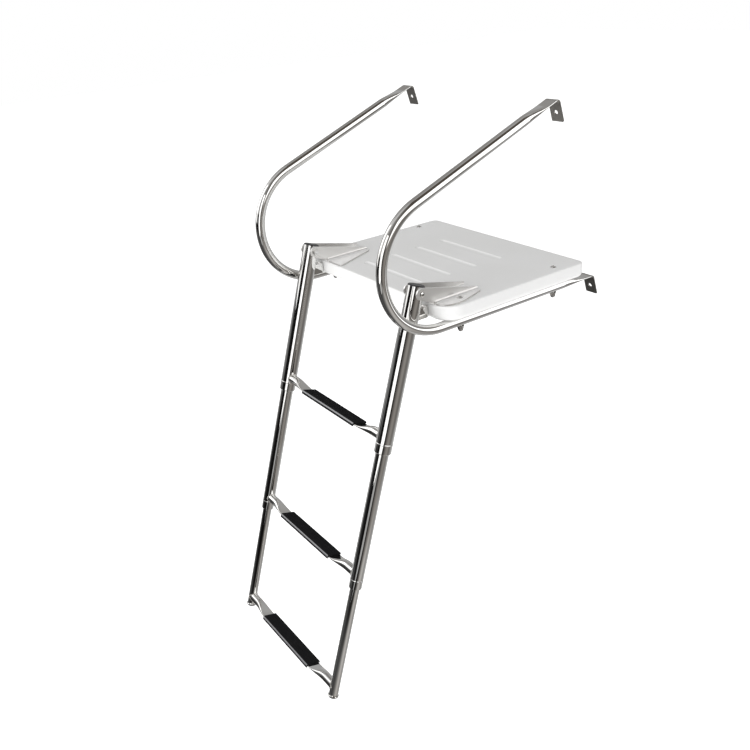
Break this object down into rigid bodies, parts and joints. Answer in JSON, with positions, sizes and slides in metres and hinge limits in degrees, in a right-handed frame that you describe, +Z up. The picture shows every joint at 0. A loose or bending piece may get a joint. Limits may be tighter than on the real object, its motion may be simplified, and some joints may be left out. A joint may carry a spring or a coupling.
{
  "type": "telescopic boat boarding ladder with platform and handrails",
  "caption": "Boat boarding platform on bent tube handrails, with a telescoping tube ladder that folds up about two hinge brackets; tread pads on the rungs.",
  "frame": {"origin": "middle of the bolt hole on the boat side of the right-hand lower flange", "axes": "+Z up, +Y towards the boat, +X to the right for someone who faces the boat"},
  "size_m": [0.454, 0.6866, 1.0671],
  "materials": {
    "polished_stainless": "mirror-polished stainless steel",
    "platform_plastic": "white moulded plastic with a slight gloss",
    "tread_rubber": "black ribbed rubber",
    "black_plastic": "black moulded plastic",
    "guide_plastic": "off-white bearing plastic"
  },
  "bodies": {
    "mount_frame": {"front_bolt_left": "polished_stainless", "front_bolt_right": "polished_stainless", "front_nut_left": "polished_stainless", "front_nut_right": "polished_stainless", "handrail_left": "polished_stainless", "handrail_right": "polished_stainless", "hinge_bracket_left": "polished_stainless", "hinge_bracket_right": "polished_stainless", "pivot_bolt_left": "polished_stainless", "pivot_bolt_right": "polished_stainless", "pivot_nut_left": "polished_stainless", "pivot_nut_right": "polished_stainless", "platform": "platform_plastic", "rear_bolt_left": "polished_stainless", "rear_bolt_right": "polished_stainless", "rear_nut_left": "polished_stainless", "rear_nut_right": "polished_stainless"},
    "upper_section": {"upper_tube_right": "polished_stainless", "upper_plug_right": "black_plastic", "upper_collar_right": "polished_stainless", "stop_lug_right": "polished_stainless", "upper_tube_left": "polished_stainless", "upper_plug_left": "black_plastic", "upper_collar_left": "polished_stainless", "stop_lug_left": "polished_stainless", "upper_rung": "polished_stainless", "upper_tread_pad": "tread_rubber"},
    "middle_section": {"middle_tube_right": "polished_stainless", "middle_guide_right": "guide_plastic", "middle_collar_right": "polished_stainless", "middle_tube_left": "polished_stainless", "middle_guide_left": "guide_plastic", "middle_collar_left": "polished_stainless", "middle_rung": "polished_stainless", "middle_tread_pad": "tread_rubber"},
    "lower_section": {"lower_tube_right": "polished_stainless", "lower_guide_right": "guide_plastic", "foot_cap_right": "black_plastic", "lower_tube_left": "polished_stainless", "lower_guide_left": "guide_plastic", "foot_cap_left": "black_plastic", "lower_rung": "polished_stainless", "lower_tread_pad": "tread_rubber"}
  },
  "joints": [
    {"name": "ladder_fold", "type": "hinge", "parent": "mount_frame", "child": "upper_section", "pos_m": [-0.206, -0.41227, 0.08903], "axis": [-1, 0, 0], "range_deg": [0, 251]},
    {"name": "middle_slide", "type": "slide", "parent": "upper_section", "child": "middle_section", "axis": [0, 0.3132, 0.9497], "range_m": [0, 0.236]},
    {"name": "lower_slide", "type": "slide", "parent": "middle_section", "child": "lower_section", "axis": [0, 0.3132, 0.9497], "range_m": [0, 0.207]}
  ]
}
